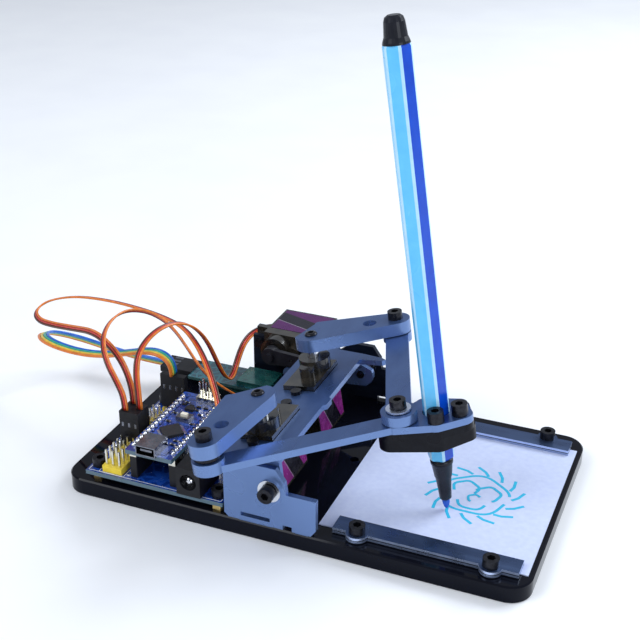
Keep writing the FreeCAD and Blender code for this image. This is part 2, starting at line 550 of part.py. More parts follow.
# ---------------------------------------------------------------- side plates and hinge
RIGHT_EDGE = [(1.5, 6), (1.5, 7.8), (4.8, 7.8), (4.8, 6), (11.5, 6), (13.3, 8.5), (13.3, 20), (2.8, 20),
              (2.2, 24.5), (-1, 29)]


def make_side_plate(label, left_edge, away, extra):
    """One upright: its outline, hinge hole and two tabs that stand in the base."""
    start = "-(side_plate_outer - plate_thick)" if away else "side_plate_outer - plate_thick"
    upright = plate(label + "_plate", "XZ", polygon(RIGHT_EDGE + left_edge), start, "plate_thick", away)
    face = "side_plate_outer - plate_thick" if away else "-side_plate_outer"
    tabs = [box(f"{label}_tab_{i}", (x, length), (face, "plate_thick"), (1.5, 5))
            for i, (x, length) in enumerate(TABS)]
    hole = rod(label + "_hole", "bearing_seat", 6, "pivot_along", f"{face} - 1", "pivot_high", "y")
    node(label, cut(label + "_cut", fuse(label + "_blank", upright, *tabs), hole, *extra))


def make_side_plates():
    slot = box("front_slot", (-13.9, 10.7), ("-side_plate_outer - 1", 5), (7.7, 1.5))
    make_side_plate("side_plate_front", [(-20, 29), (-20, 7.5), (-18.5, 6)], False, [slot])
    shaft = size("lift_shaft_along")
    left = shaft + size("shaft_offset") - size("case_length") / 2 - 0.2
    right = left + size("case_length") + 0.4
    sill = size("lift_shaft_high") - size("case_width") / 2 - 0.2
    outline = [(-10, 29), (-15, 24.6), (right, 24.6), (right, sill), (left, sill), (left, 24.6),
               (left - 5.4, 24.6), (left - 5.4, 7.5), (left - 3.9, 6)]
    holes = [rod(f"lift_mount_hole_{i}", "mount_hole", 6,
                 f"lift_shaft_along + shaft_offset + {sign} * flange_hole",
                 "side_plate_outer - 4", "lift_shaft_high", "y") for i, sign in enumerate((-1, 1))]
    make_side_plate("side_plate_rear", outline, True, holes)
    bearings, screws = [], []
    for i, sign in enumerate((-1, 1)):
        inner = "side_plate_outer - plate_thick"
        ring = rod(f"bearing_ring_{i}", "bearing_outer", "plate_thick", "pivot_along",
                   inner if sign > 0 else "-side_plate_outer", "pivot_high", "y")
        lip = rod(f"bearing_lip_{i}", "bearing_flange", "bearing_lip", "pivot_along",
                  "side_plate_outer" if sign > 0 else "-side_plate_outer - bearing_lip", "pivot_high", "y")
        bore = rod(f"bearing_bore_{i}", "screw_bore", 8, "pivot_along",
                   "side_plate_outer - 4" if sign > 0 else "-side_plate_outer - 4", "pivot_high", "y")
        bearings.append(cut(f"bearing_{i}", fuse(f"bearing_blank_{i}", ring, lip), bore))
    node("pivot_bearings", group("bearing_group", *bearings))
    seat = "side_plate_outer + bearing_lip + 0.3"
    head = cap_screw("front_pivot", 0, 0, f"-({seat})", 7.0, "y", down=False)
    far = cap_screw("rear_pivot", 0, 0, seat, 11.8, "y", down=True)
    sleeve = cut("sleeve", rod("sleeve_rod", 3.0, "side_plate_outer - plate_thick - 0.4 - deck_rear", 0,
                               "deck_rear", 0, "y"),
                 rod("sleeve_bore", "screw_bore", 12, 0, "deck_rear - 2", 0, "y"))
    screws = [head, far, sleeve]
    node("pivot_screws", group("pivot_group", *screws), tilted=True)


# ---------------------------------------------------------------- carriage and its servos
def make_carriage():
    low = "deck_top - plate_thick"
    left, right = size("deck_left"), size("deck_right")
    front, rear = size("deck_front"), size("deck_rear")
    outline = [(left, front), (right, front), (right, -7.5), (right + 1.2, -6.3), (right + 1.2, -2.2),
               (right, -1), (right, 29.6), (13.0, 29.4), (14.2, 30.6), (12.0, 32.0), (right, 34.6),
               (-8.0, 37.6), (-8.0, rear), (left, rear)]
    deck = plate("deck", "XY", polygon(outline), low, "plate_thick")
    high = size("deck_top") - 0.5
    near_cheek = plate("near_cheek", "XZ", hull([(0, 0, 5.4), (right - 0.2, high - 0.2, 0.2),
                       (-12.0, high - 0.2, 0.2)]), "-deck_front - plate_thick", "plate_thick")
    far_cheek = plate("far_cheek", "XZ",
                      hull([(0, 0, 5.0), (-9.0, high - 0.2, 0.2), (left + 0.2, high - 0.2, 0.2),
                      (left + 4.0, -1.6, 2.4)]), "-deck_rear", "plate_thick")
    ear_high = size("ear_high")
    neck = plate("ear_neck", "XZ", hull([(left + 6.0, -1.2, 2.8), (left + 6.0, 0.6, 2.8),
                 (size("ear_along"), ear_high, size("ear_round"))]), "-deck_rear", "plate_thick")
    ear = rod("ear_boss", "ear_round", "deck_rear - ear_front", "ear_along", "ear_front", "ear_high", "y")
    tools = [rod("hinge_hole", "screw_bore", 100, 0, -50, 0, "y")]
    for which, along, turn in (("near", "near_shaft", 1), ("far", "far_shaft", -1)):
        middle = f"{along} + {turn} * shaft_offset"
        tools.append(box(which + "_window", ("servo_line - window_width / 2", "window_width"),
                         (f"{middle} - window_length / 2", "window_length"), (0, 20)))
        for i, sign in enumerate((-1, 1)):
            tools.append(rod(f"{which}_deck_hole_{i}", "mount_hole", 20, "servo_line",
                             f"{middle} + {sign} * flange_hole", 0))
    solid = fuse("carriage_blank", deck, near_cheek, far_cheek, neck, ear)
    node("servo_carriage", cut("carriage", solid, *tools), tilted=True)


def make_arm_servos():
    lids, motors, screws = [], [], []
    for which, arm_top in (("near", "near_arm_top"), ("far", "far_arm_top")):
        for piece, make in (("case", servo_case), ("cover", servo_cover)):
            item = on_carriage(make(f"{which}_{piece}"), which)
            node(f"{which}_servo_{piece}", group(f"{which}_{piece}_placed", item), tilted=True)
        lids.append(on_carriage(servo_lid(which + "_lid"), which))
        motors.append(on_carriage(servo_motor(which + "_motor"), which))
        seat = "deck_top - plate_thick"
        shaft = on_carriage(servo_shaft(which + "_spline", f"{arm_top} - arm_thick - ({seat})"), which)
        line = ("servo_line", "near_shaft" if which == "near" else "far_shaft")
        head = rod(which + "_arm_screw", 2.3, 2.2, *line, f"{arm_top} - 3.0")
        dimple = hexagon(which + "_arm_socket", 2.4, 2, *line, f"{arm_top} - 2.0")
        node(f"{which}_drive_shaft", group(f"{which}_drive", shaft, cut(which + "_screw_cut", head, dimple)),
             tilted=True)
        turn = 1 if which == "near" else -1
        for i, sign in enumerate((-1, 1)):
            y = f"{line[1]} + {turn} * shaft_offset + {sign} * flange_hole"
            top = rod(f"{which}_mount_head_{i}", 2.0, 1.4, "servo_line", y, "deck_top")
            shank = rod(f"{which}_mount_shank_{i}", "mount_screw", 6.0, "servo_line", y, "deck_top - 6.0")
            nut = hexagon(f"{which}_mount_nut_{i}", 4.0, 1.4, "servo_line", y,
                          "deck_top - plate_thick - flange_thick - 1.4")
            screws.append(fuse(f"{which}_mount_{i}", top, shank, nut))
    node("servo_lids", group("lid_group", *lids), tilted=True)
    node("servo_motors", group("motor_group", *motors), tilted=True)
    node("servo_mount_screws", group("mount_group", *screws), tilted=True)


# ---------------------------------------------------------------- five-bar linkage
def toward(start, angle, reach):
    return (start[0] + reach * math.cos(math.radians(angle)),
            start[1] + reach * math.sin(math.radians(angle)))


def place_joints():
    """Shoulders, elbows and the common joint, from the link lengths and the two arm angles."""
    near = (size("servo_line"), size("near_shaft"))
    far = (size("servo_line"), size("far_shaft"))
    near_elbow = toward(near, NEAR_ARM_ANGLE, size("arm_length"))
    far_elbow = toward(far, FAR_ARM_ANGLE, size("arm_length"))
    dx, dy = far_elbow[0] - near_elbow[0], far_elbow[1] - near_elbow[1]
    gap = math.hypot(dx, dy)
    rise = math.sqrt(size("forearm_length") ** 2 - gap ** 2 / 4)
    centre = ((near_elbow[0] + far_elbow[0]) / 2 + rise * dy / gap,
              (near_elbow[1] + far_elbow[1]) / 2 - rise * dx / gap)
    return near, far, near_elbow, far_elbow, centre


NEAR, FAR, NEAR_ELBOW, FAR_ELBOW, CENTRE = place_joints()
for title, spot in (("near elbow", NEAR_ELBOW), ("far elbow", FAR_ELBOW), ("centre", CENTRE)):
    print(f"{title}: {spot[0]:.4f}, {spot[1]:.4f}")


def arm(which, start, angle, bulge, top):
    """A short driven arm, wider on its outer side near the shaft."""
    def at(along, side, radius):
        x, y = toward(start, angle, along)
        x, y = toward((x, y), angle + 90, side)
        return (x, y, radius)
    ring = [at(0, 0, 6.0), at(size("arm_length"), 0, size("arm_end")), at(4.6, 8.8, 1.6)]
    if bulge < 0:
        ring = [at(0, 0, 6.0), at(4.6, -8.8, 1.6), at(size("arm_length"), 0, size("arm_end"))]
    blank = plate(f"arm_{which}_plate", "XY", hull(ring), f"{top} - arm_thick", "arm_thick")
    hole = toward(start, angle, size("arm_hole_reach"))
    elbow = toward(start, angle, size("arm_length"))
    tools = [rod(f"arm_{which}_hole", "arm_hole", 8, hole[0], hole[1], f"{top} - arm_thick - 1"),
             rod(f"arm_{which}_recess", 2.35, 4, start[0], start[1], f"{top} - 3.0"),
             rod(f"arm_{which}_elbow", "screw_bore", 8, elbow[0], elbow[1], f"{top} - arm_thick - 1")]
    node(f"arm_{which}", cut(f"arm_{which}_cut", blank, *tools), tilted=True)


def make_linkage():
    arm("near", NEAR, NEAR_ARM_ANGLE, -1, "near_arm_top")
    arm("far", FAR, FAR_ARM_ANGLE, 1, "far_arm_top")
    far_low = "forearm_far_top - forearm_far_thick"
    half = size("forearm_far_half")
    blade = plate("forearm_far_blade", "XY", hull([(*FAR_ELBOW, half), (*CENTRE, half)][::-1]), far_low,
                  "forearm_far_thick")
    ends = [rod("forearm_far_top_end", "arm_end", "forearm_far_thick", *FAR_ELBOW, far_low),
            rod("forearm_far_tip_end", "forearm_far_tip", "forearm_far_thick", *CENTRE, far_low)]
    bores = [rod("far_elbow_bore", "screw_bore", 8, *FAR_ELBOW, f"{far_low} - 2"),
             rod("centre_bore", "centre_clear", 8, *CENTRE, f"{far_low} - 2")]
    node("forearm_far", cut("forearm_far_cut", fuse("forearm_far_blank", blade, *ends), *bores), tilted=True)

    near_low = "forearm_near_top - forearm_near_thick"
    half = size("forearm_near_half")
    blade = plate("forearm_near_blade", "XY", hull([(*NEAR_ELBOW, half), (*CENTRE, half)]), near_low,
                  "forearm_near_thick")
    palm = plate("forearm_near_palm", "XY", hull([(CENTRE[0], CENTRE[1], 5.8), (50.8, -22.3, 3.6),
                 (57.4, -16.4, 4.0), (54.6, -9.6, 3.0), (43.4, -10.6, 3.0)]), near_low, "forearm_near_thick")
    boss = rod("near_elbow_boss", "arm_end", f"elbow_boss_top - ({near_low})", *NEAR_ELBOW, near_low)
    pen_hole = rod("palm_pen_hole", "pen_bore", 9, "pen_along", "pen_across", 10)
    bores = [rod("near_elbow_bore", "screw_bore", 9, *NEAR_ELBOW, 12),
             rod("palm_centre_bore", "screw_bore", 9, *CENTRE, 10)]
    bores += [rod(f"palm_screw_bore_{i}", "screw_bore", 9, x, y, 10)
              for i, (x, y) in enumerate(HOLDER_SCREWS)]
    node("forearm_near",
         cut("forearm_near_cut", fuse("forearm_near_blank", blade, palm, boss), pen_hole, *bores),
         tilted=True)

    for which, spot, top, foot in (("near", NEAR_ELBOW, "near_arm_top",
                                    "forearm_near_top - forearm_near_thick"),
                                   ("far", FAR_ELBOW, "far_arm_top", far_low)):
        screw = cap_screw(f"{which}_elbow", *spot, top, f"{top} - ({foot}) + 1.2")
        pieces = [screw]
        if which == "near":
            washer = rod("near_elbow_washer_rod", 4.4, f"{top} - arm_thick - elbow_boss_top - 0.35", *spot,
                         "elbow_boss_top + 0.35")
            pieces.append(cut("near_elbow_washer", washer,
                              rod("near_elbow_washer_bore", "screw_bore", 6, *spot, "elbow_boss_top - 1")))
        node(f"elbow_screw_{which}", group(f"{which}_elbow_group", *pieces), tilted=True)

    screw = cap_screw("centre", *CENTRE, "forearm_far_top + 0.9", "forearm_far_top + 0.9 - holder_low + 0.5")
    washer = cut("centre_washer", rod("centre_washer_rod", 4.2, 0.6, *CENTRE, "forearm_far_top + 0.3"),
                 rod("centre_washer_bore", "screw_bore", 4, *CENTRE, "forearm_far_top - 1"))
    node("centre_screw", group("centre_group", screw, washer), tilted=True)


# ---------------------------------------------------------------- pen holder and pen
HOLDER_SCREWS = [(51.1, -23.0), (57.4, -17.0)]


def make_pen_holder():
    holder = plate("holder_blank", "XY",
                   hull([(CENTRE[0] - 2.0, CENTRE[1] + 0.6, 5.8), (50.8, -22.3, 3.6), (57.4, -16.4, 4.0),
                   (54.6, -9.6, 3.0), (43.4, -10.6, 3.0)]), "holder_low",
                   "forearm_near_top - forearm_near_thick - holder_low")
    block = plate("block_blank", "XY", hull([(CENTRE[0] - 3.0, CENTRE[1] + 0.4, 5.0), (50.8, -22.1, 3.7),
                  (57.6, -14.4, 3.6), (52.6, -2.2, 3.2), (42.4, -6.4, 3.2)]), "block_low",
                  "holder_low - block_low")
    for label, blank in (("pen_holder", holder), ("pen_block", block)):
        tools = [rod(label + "_pen_hole", "pen_bore", 20, "pen_along", "pen_across", 2)]
        tools += [rod(f"{label}_bore_{i}", "screw_bore", 20, x, y, 2)
                  for i, (x, y) in enumerate(HOLDER_SCREWS + [CENTRE])]
        node(label, cut(label + "_cut", blank, *tools), tilted=True)
    seat = "forearm_near_top + 1.0"
    pieces = []
    for i, (x, y) in enumerate(HOLDER_SCREWS):
        pieces.append(cap_screw(f"holder_screw_{i}", x, y, seat, f"{seat} - block_low"))
        pieces.append(cut(f"holder_washer_{i}",
                          rod(f"holder_washer_rod_{i}", 2.75, 1.0, x, y, "forearm_near_top"),
                          rod(f"holder_washer_bore_{i}", "screw_bore", 5, x, y, "forearm_near_top - 2")))
    node("holder_screws", group("holder_screw_group", *pieces), tilted=True)


def make_pen():
    barrel = hexagon("barrel", "pen_flats", "barrel_high - barrel_low", "pen_along", "pen_across",
                     "barrel_low")
    plug = rod("end_plug", "plug_round", "plug_high - barrel_high", "pen_along", "pen_across", "barrel_high")
    node("pen_barrel", group("barrel_group", barrel, plug), tilted=True)
    nose = cone("nose", 1.9, "pen_flats / 2 - 0.05", "barrel_low - nose_low", "pen_along", "pen_across",
                "nose_low")
    nib = fuse("nib", rod("nib_rod", "nib_round", "nose_low - nib_low - 1.2", "pen_along", "pen_across",
                          "nib_low + 1.2"),
               cone("nib_tip", 0.35, "nib_round", 1.2, "pen_along", "pen_across", "nib_low"))
    node("pen_tip", group("tip_group", nose, nib), tilted=True)


# ---------------------------------------------------------------- build, check, write
make_base()
make_card_and_clamps()
make_carrier()
make_headers()
make_controller()
make_plugs()
make_radio()
tube("servo_lead_near", NEAR_LEAD, size("lead_diameter"))
tube("servo_lead_far", FAR_LEAD, size("lead_diameter"))
tube("servo_lead_lift", LIFT_LEAD, size("lead_diameter"))
tube("ribbon_cable", RIBBON, size("ribbon_diameter"))
make_side_plates()
make_lift_servo()
make_carriage()
make_arm_servos()
make_linkage()
make_pen_holder()
make_pen()
doc.recompute()

for item in doc.Objects:
    if "Invalid" in item.State or "Error" in item.State:
        raise RuntimeError(f"{item.Name} failed to build: {item.State}")
os.makedirs("parts", exist_ok=True)
for item in nodes:
    shape = item.Shape
    if shape.isNull() or not shape.isValid() or not shape.Solids:
        raise RuntimeError(f"{item.Label} has no valid solid")
    shape.exportStep(f"parts/{item.Label}.step")
print(len(nodes), "nodes written")
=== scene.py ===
"""Looks for the five-bar drawing robot: materials, wiring, labels, board details, pen, light and camera."""
import json
import math

import bmesh
import bpy
from mathutils import Matrix, Vector


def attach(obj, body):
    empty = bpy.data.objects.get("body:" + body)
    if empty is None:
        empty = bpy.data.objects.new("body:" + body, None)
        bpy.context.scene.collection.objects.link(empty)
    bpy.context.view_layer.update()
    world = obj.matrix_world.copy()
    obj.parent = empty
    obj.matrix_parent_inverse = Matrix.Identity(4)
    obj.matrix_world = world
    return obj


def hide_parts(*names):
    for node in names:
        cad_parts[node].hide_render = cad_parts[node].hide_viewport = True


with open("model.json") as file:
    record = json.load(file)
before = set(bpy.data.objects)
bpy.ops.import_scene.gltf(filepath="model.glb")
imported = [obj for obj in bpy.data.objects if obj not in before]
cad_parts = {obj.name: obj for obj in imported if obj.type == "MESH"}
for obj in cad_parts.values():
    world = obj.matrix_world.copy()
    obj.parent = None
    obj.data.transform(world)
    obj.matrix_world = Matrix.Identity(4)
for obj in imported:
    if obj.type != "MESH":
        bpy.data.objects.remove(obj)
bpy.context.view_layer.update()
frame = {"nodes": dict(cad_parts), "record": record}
nodes = frame["nodes"]
scene = bpy.context.scene
MM = 0.001
TILT = math.radians(8.6)
PITCH = 2.54
CARRIER_TOP = 10.84
CONTROLLER_TOP = 23.44
CONTROLLER_LEFT = -57.4
PRINT_LIFT = 0.01
CARD_TOP = 6.4
CENTRE = (38.909, -23.722)
PEN_AXIS = (49.0, -16.0)
PEN_FLATS = 7.9
SERVO_LINE = -9.5


def on_carriage(u, y, w):
    """A point of the tilted carriage, from its own level frame in millimetres."""
    return Vector((-3 + u * math.cos(TILT) - w * math.sin(TILT), y,
                   20.5 + u * math.sin(TILT) + w * math.cos(TILT))) * MM


CARRIAGE = Matrix.Translation(on_carriage(0, 0, 0)) @ Matrix.Rotation(-TILT, 4, "Y")


# ---------------------------------------------------------------- materials
class Tree:
    """A small helper for node trees on one material."""

    def __init__(self, name):
        self.material = bpy.data.materials.new(name)
        self.material.use_nodes = True
        self.tree = self.material.node_tree
        self.shader = self.tree.nodes["Principled BSDF"]
        self.coords = self.add("ShaderNodeTexCoord")

    def add(self, kind, **values):
        item = self.tree.nodes.new(kind)
        for key, value in values.items():
            setattr(item, key, value)
        return item

    def link(self, source, target):
        self.tree.links.new(source, target)

    def noise(self, scale, detail=4.0, stretch=(1, 1, 1)):
        mapping = self.add("ShaderNodeMapping")
        mapping.inputs["Scale"].default_value = stretch
        self.link(self.coords.outputs["Object"], mapping.inputs["Vector"])
        item = self.add("ShaderNodeTexNoise")
        item.inputs["Scale"].default_value = scale
        item.inputs["Detail"].default_value = detail
        self.link(mapping.outputs["Vector"], item.inputs["Vector"])
        return item.outputs["Fac"]

    def spread(self, value, low, high):
        item = self.add("ShaderNodeMapRange")
        item.inputs["From Min"].default_value = 0.3
        item.inputs["From Max"].default_value = 0.7
        item.inputs["To Min"].default_value = low
        item.inputs["To Max"].default_value = high
        self.link(value, item.inputs["Value"])
        return item.outputs["Result"]

    def ramp(self, value, stops, hard=False):
        item = self.add("ShaderNodeValToRGB")
        item.color_ramp.interpolation = "CONSTANT" if hard else "LINEAR"
        while len(item.color_ramp.elements) < len(stops):
            item.color_ramp.elements.new(0.5)
        for element, (place, color) in zip(item.color_ramp.elements, stops):
            element.position = place
            element.color = (*color, 1)
        self.link(value, item.inputs["Fac"])
        return item.outputs["Color"]

    def mix(self, factor, first, second):
        item = self.add("ShaderNodeMix", data_type="RGBA")
        self.link(factor, item.inputs["Factor"])
        for socket, value in ((item.inputs[6], first), (item.inputs[7], second)):
            if isinstance(value, tuple):
                socket.default_value = (*value, 1)
            else:
                self.link(value, socket)
        return item.outputs[2]

    def bump(self, value, strength, distance):
        item = self.add("ShaderNodeBump")
        item.inputs["Strength"].default_value = strength
        item.inputs["Distance"].default_value = distance
        self.link(value, item.inputs["Height"])
        self.link(item.outputs["Normal"], self.shader.inputs["Normal"])

    def facing_up(self):
        """1 where the surface faces up and 0 on its sides."""
        geometry = self.add("ShaderNodeNewGeometry")
        split = self.add("ShaderNodeSeparateXYZ")
        self.link(geometry.outputs["Normal"], split.inputs["Vector"])
        item = self.add("ShaderNodeMapRange")
        item.inputs["From Min"].default_value = 0.55
        item.inputs["From Max"].default_value = 0.75
        self.link(split.outputs["Z"], item.inputs["Value"])
        return item.outputs["Result"]


def surface(name, light, dark, rough, metal=0.0, scale=300.0, stretch=(1, 1, 1),
            bump=(0.1, 0.00005), coat=0.0, side=None, shine=0.5):
    """A material with colour variation, uneven gloss and fine relief; side, where given, colours the upright
    faces with painted shade or a painted highlight.
    """
    t = Tree(name)
    grain = t.noise(scale, 5.0, stretch)
    color = t.ramp(grain, [(0.3, dark), (0.7, light)])
    # Upright faces take the side colour, which is painted shade or a painted highlight for how light falls on
    # them.
    if side:
        color = t.mix(t.facing_up(), side, color)
    t.link(color, t.shader.inputs["Base Color"])
    t.link(t.spread(t.noise(scale * 0.25, 3.0, stretch), rough[0], rough[1]), t.shader.inputs["Roughness"])
    t.shader.inputs["Metallic"].default_value = metal
    t.shader.inputs["Specular IOR Level"].default_value = shine
    t.shader.inputs["Coat Weight"].default_value = coat
    t.shader.inputs["Coat Roughness"].default_value = 0.08
    t.bump(t.noise(scale * 4, 3.0, stretch), *bump)
    return t.material


def make_board(name, deep, trace, edge):
    """Solder resist with buried traces, small printed specks and a darker cut edge."""
    t = Tree(name)
    cells = t.add("ShaderNodeTexVoronoi", feature="DISTANCE_TO_EDGE", distance="MANHATTAN")
    cells.inputs["Scale"].default_value = 260
    t.link(t.coords.outputs["Object"], cells.inputs["Vector"])
    tracks = t.ramp(cells.outputs["Distance"], [(0.0, (1, 1, 1)), (0.10, (0, 0, 0))], hard=True)
    top = t.mix(tracks, deep, trace)
    speck = t.ramp(t.noise(900, 2.0), [(0.0, (0, 0, 0)), (0.73, (1, 1, 1))], hard=True)
    top = t.mix(speck, top, (0.55, 0.62, 0.75))
    t.link(t.mix(t.facing_up(), edge, top), t.shader.inputs["Base Color"])
    t.link(t.spread(t.noise(120), 0.18, 0.34), t.shader.inputs["Roughness"])
    t.shader.inputs["Coat Weight"].default_value = 0.5
    t.bump(tracks, 0.3, 0.00004)
    return t.material


def make_smoke():
    """Smoky translucent plastic with the gears showing as darker clouds."""
    t = Tree("servo_smoke")
    clouds = t.ramp(t.noise(160, 2.0), [(0.35, (0.008, 0.008, 0.008)), (0.65, (0.040, 0.033, 0.024))])
    t.link(clouds, t.shader.inputs["Base Color"])
    t.link(t.spread(t.noise(90), 0.10, 0.24), t.shader.inputs["Roughness"])
    t.shader.inputs["Transmission Weight"].default_value = 0.22
    t.shader.inputs["IOR"].default_value = 1.49
    t.shader.inputs["Coat Weight"].default_value = 0.4
    t.bump(t.noise(700), 0.08, 0.00004)
    return t.material


def make_label(name, along, across, violet):
    """A foil label: coloured, with a dark slanting band that starts at a thin pale line."""
    t = Tree(name)
    split = t.add("ShaderNodeSeparateXYZ")
    t.link(t.coords.outputs["Generated"], split.inputs["Vector"])
    slant = t.add("ShaderNodeMath", operation="MULTIPLY_ADD")
    t.link(split.outputs[across], slant.inputs[0])
    slant.inputs[1].default_value = 0.38
    t.link(split.outputs[along], slant.inputs[2])
    dark, pale = (0.012, 0.010, 0.022), tuple(0.35 + 0.6 * v for v in violet)
    bands = t.ramp(slant.outputs[0], [(0.0, violet), (0.44, pale), (0.46, dark), (0.86, violet)], hard=True)
    tint = t.ramp(t.noise(220), [(0.35, (0.75, 0.75, 0.8)), (0.65, (1, 1, 1))])
    blend = t.add("ShaderNodeMix", data_type="RGBA", blend_type="MULTIPLY")
    blend.inputs["Factor"].default_value = 1
    t.link(bands, blend.inputs[6])
    t.link(tint, blend.inputs[7])
    t.link(blend.outputs[2], t.shader.inputs["Base Color"])
    t.link(t.spread(t.noise(300), 0.15, 0.35), t.shader.inputs["Roughness"])
    t.shader.inputs["Metallic"].default_value = 0.45
    t.bump(t.noise(500), 0.1, 0.00003)
    return t.material


def make_clamp():
    """Dark satin bars; their upright faces carry two bright bands of painted highlight round a dark band of
    painted shade, where two stacked strips would meet.
    """
    t = Tree("clamp_steel")
    split = t.add("ShaderNodeSeparateXYZ")
    t.link(t.coords.outputs["Generated"], split.inputs["Vector"])
    # Upright faces by height: painted highlight, a dark band of painted shade, painted highlight.
    bands = t.ramp(split.outputs["Z"], [(0.0, (0.34, 0.42, 0.62)), (0.40, (0.012, 0.014, 0.025)),
                                        (0.55, (0.50, 0.60, 0.85))], hard=True)
    top = t.ramp(t.noise(300, 4.0, (0.1, 1, 1)), [(0.3, (0.045, 0.075, 0.16)), (0.7, (0.075, 0.12, 0.24))])
    t.link(t.mix(t.facing_up(), bands, top), t.shader.inputs["Base Color"])
    t.link(t.spread(t.noise(200), 0.22, 0.38), t.shader.inputs["Roughness"])
    t.shader.inputs["Metallic"].default_value = 0.8
    t.bump(t.noise(900), 0.08, 0.00003)
    return t.material


def make_washer_screw(name, spot, reach):
    """Black screw through a bright washer: bright further than reach from the screw's axis."""
    t = Tree(name)
    mapping = t.add("ShaderNodeMapping", vector_type="TEXTURE")
    mapping.inputs["Location"].default_value = on_carriage(*spot, 0)
    mapping.inputs["Rotation"].default_value = (0, -TILT, 0)
    t.link(t.coords.outputs["Object"], mapping.inputs["Vector"])
    split = t.add("ShaderNodeSeparateXYZ")
    t.link(mapping.outputs["Vector"], split.inputs["Vector"])
    flat = t.add("ShaderNodeCombineXYZ")
    t.link(split.outputs["X"], flat.inputs["X"])
    t.link(split.outputs["Y"], flat.inputs["Y"])
    far = t.add("ShaderNodeVectorMath", operation="LENGTH")
    t.link(flat.outputs["Vector"], far.inputs[0])
    beyond = t.add("ShaderNodeMath", operation="GREATER_THAN")
    t.link(far.outputs["Value"], beyond.inputs[0])
    beyond.inputs[1].default_value = reach * MM
    grain = t.ramp(t.noise(900), [(0.3, (0.018, 0.018, 0.022)), (0.7, (0.05, 0.05, 0.058))])
    t.link(t.mix(beyond.outputs[0], grain, (0.62, 0.68, 0.82)), t.shader.inputs["Base Color"])
    t.link(t.spread(t.noise(300), 0.2, 0.4), t.shader.inputs["Roughness"])
    t.shader.inputs["Metallic"].default_value = 0.9
    t.bump(t.noise(1500), 0.1, 0.00003)
    return t.material


